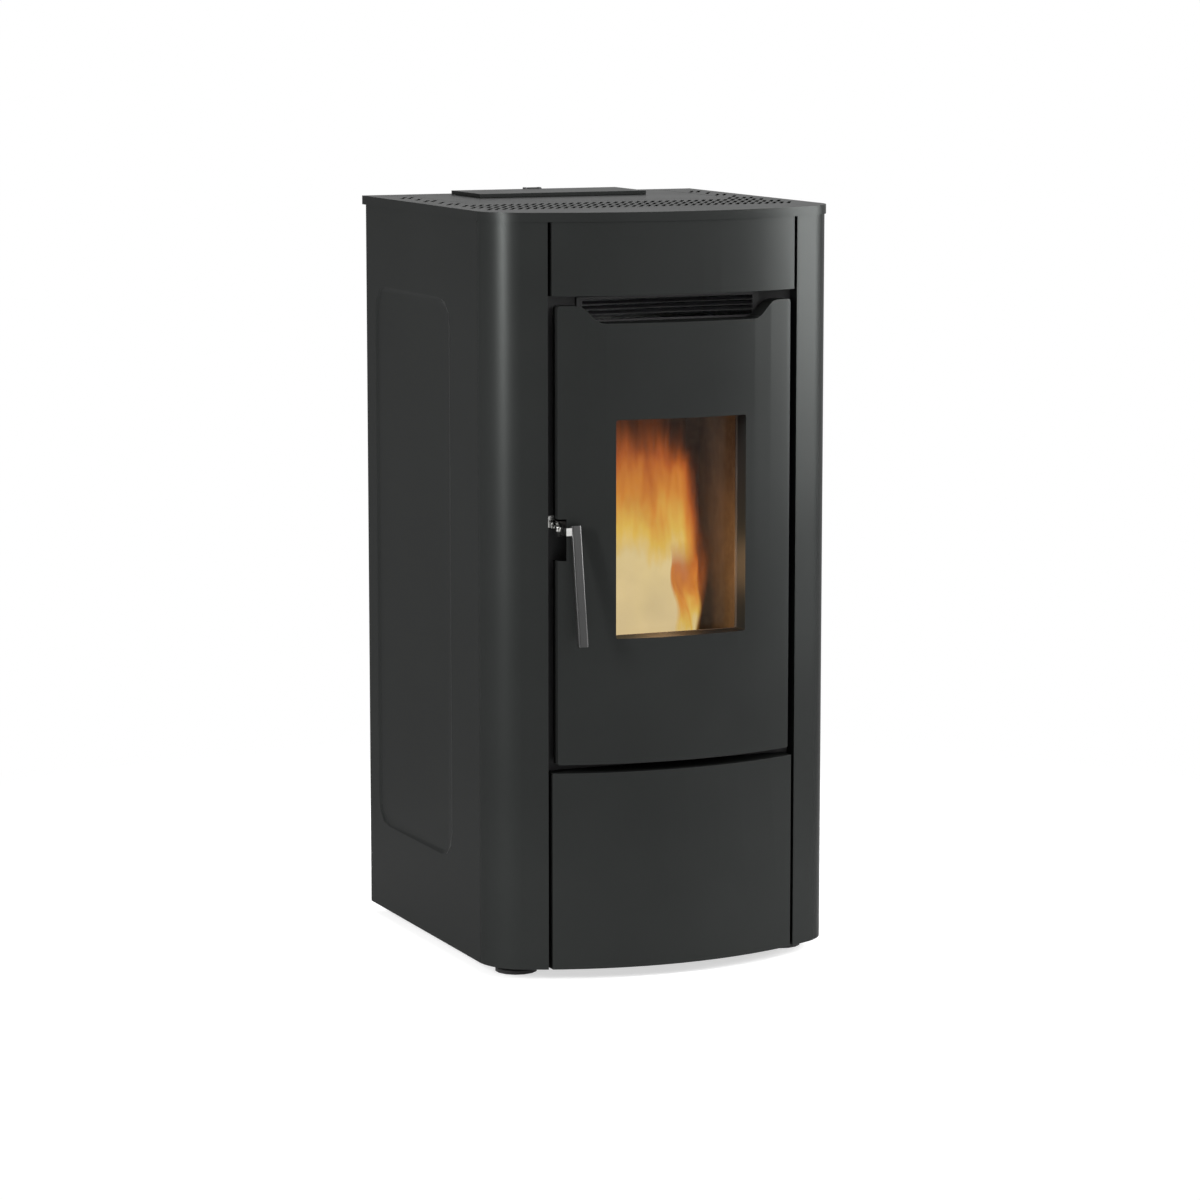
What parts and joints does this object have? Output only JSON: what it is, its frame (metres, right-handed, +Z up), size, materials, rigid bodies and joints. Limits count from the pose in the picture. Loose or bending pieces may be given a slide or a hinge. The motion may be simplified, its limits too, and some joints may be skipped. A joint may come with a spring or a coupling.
{
  "type": "pellet stove",
  "caption": "Free-standing pellet stove: bowed steel casing, fire door with window and hanging handle, slotted top with hopper lid, rear flue; screw feed and fans inside.",
  "frame": {"origin": "on the floor, under the middle of the whole object's bounding box", "axes": "+Z up, -Y towards the person who faces the fire door, +X to that person's right; the flue leaves towards +Y"},
  "size_m": [0.493, 0.575, 1.007],
  "materials": {
    "paint": "satin",
    "black_paint": "matte",
    "foot_rubber": "matte",
    "zinc_sheet": "satin",
    "steel": "satin",
    "cast_iron": "rough",
    "vermiculite": "matte",
    "glass_rope": "matte",
    "ceramic_glass": "clear",
    "moulded_black": "matte",
    "circuit_board": "satin"
  },
  "bodies": {
    "stove": {"air_inlet_pipe": "zinc_sheet", "air_outlet_duct": "zinc_sheet", "air_outlet_grille": "black_paint", "ash_pan": "zinc_sheet", "auger_gearmotor": "moulded_black", "auger_tube": "steel", "base_tray": "black_paint", "burn_pot": "cast_iron", "burn_pot_holder": "cast_iron", "control_board": "circuit_board", "convection_fan_housing": "zinc_sheet", "convection_fan_motor": "black_paint", "exhaust_duct": "zinc_sheet", "fire_back": "vermiculite", "firebox": "black_paint", "flame_deflector": "steel", "flue_outlet": "steel", "front_frame": "black_paint", "front_left_foot": "foot_rubber", "front_right_foot": "foot_rubber", "heat_exchanger": "steel", "hopper": "zinc_sheet", "hopper_grid": "steel", "igniter": "steel", "latch_keeper": "steel", "left_liner": "vermiculite", "left_side_panel": "paint", "lid_gasket": "glass_rope", "lid_hinge_bracket": "black_paint", "lower_front_panel": "paint", "lower_hinge_bracket": "black_paint", "mains_inlet": "moulded_black", "pellet_chute": "steel", "pressure_switch": "moulded_black", "rear_left_foot": "foot_rubber", "rear_panel": "zinc_sheet", "rear_right_foot": "foot_rubber", "right_liner": "vermiculite", "right_side_panel": "paint", "safety_thermostat": "steel", "smoke_fan_housing": "steel", "smoke_fan_motor": "black_paint", "thermostat_cap": "moulded_black", "top_cover": "paint", "top_plate": "paint", "upper_front_panel": "paint", "upper_hinge_bracket": "black_paint"},
    "door": {"door_shell": "paint", "door_casting": "cast_iron", "door_rope": "glass_rope", "door_glass": "ceramic_glass", "glass_clamp": "black_paint", "latch_pin": "steel"},
    "handle": {"latch_lever": "steel", "handle_grip": "black_paint"},
    "lid": {"hopper_lid": "paint"},
    "auger": {"auger_screw": "steel"},
    "convection_fan": {"convection_fan_wheel": "zinc_sheet"},
    "smoke_fan": {"smoke_fan_wheel": "steel"},
    "rocker": {"switch_rocker": "moulded_black"}
  },
  "joints": [
    {"name": "door_hinge", "type": "hinge", "parent": "stove", "child": "door", "pos_m": [0.152, -0.23251, 0.594], "axis": [0, 0, 1], "range_deg": [0, 95]},
    {"name": "handle_turn", "type": "hinge", "parent": "door", "child": "handle", "pos_m": [-0.16, -0.23251, 0.594], "axis": [-1, 0, 0], "range_deg": [0, 28]},
    {"name": "lid_hinge", "type": "hinge", "parent": "stove", "child": "lid", "pos_m": [0, 0.24049, 1.004], "axis": [-1, 0, 0], "range_deg": [0, 95]},
    {"name": "auger_turn", "type": "hinge", "parent": "stove", "child": "auger", "pos_m": [0, 0.13949, 0.375], "axis": [0, -0.5935, 0.8048], "continuous": true},
    {"name": "convection_fan_spin", "type": "hinge", "parent": "stove", "child": "convection_fan", "pos_m": [-0.06, 0.05949, 0.135], "axis": [1, 0, 0], "continuous": true},
    {"name": "smoke_fan_spin", "type": "hinge", "parent": "stove", "child": "smoke_fan", "pos_m": [0.115, 0.12949, 0.216], "axis": [1, 0, 0], "continuous": true},
    {"name": "mains_rocker", "type": "hinge", "parent": "stove", "child": "rocker", "pos_m": [-0.19, 0.24549, 0.129], "axis": [1, 0, 0], "range_deg": [0, 16]}
  ]
}
